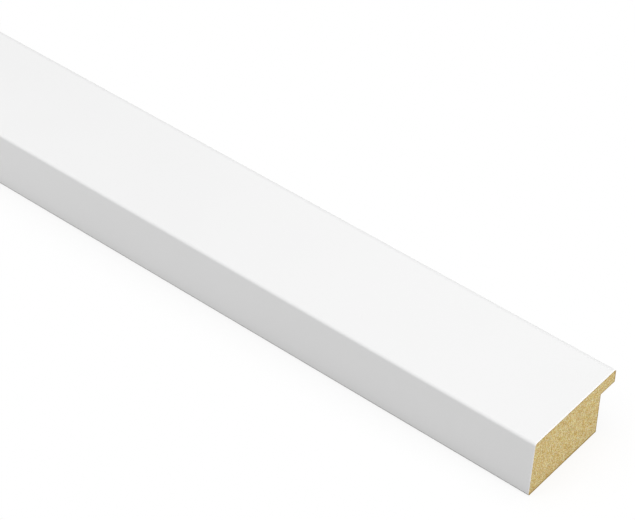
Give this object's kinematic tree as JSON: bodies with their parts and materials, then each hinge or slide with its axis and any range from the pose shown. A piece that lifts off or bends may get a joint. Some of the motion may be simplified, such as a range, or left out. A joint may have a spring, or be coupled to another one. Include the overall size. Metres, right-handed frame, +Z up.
{
  "type": "picture frame moulding",
  "caption": "Square-cut length of flat picture frame moulding: MDF core wrapped in white foil, slightly leaning outer side, softly rounded face edges and a rabbet under the sight edge for glass and picture.",
  "frame": {"origin": "middle of the stick's box, on the underside that lies on the floor", "axes": "+X along the stick, +Y from the outer side to the sight edge, +Z up out of the face"},
  "size_m": [1, 0.04, 0.02],
  "materials": {
    "mdf": "matte",
    "white_foil": "satin"
  },
  "bodies": {
    "root": {"mdf_core": "mdf", "white_foil": "white_foil"}
  },
  "joints": []
}
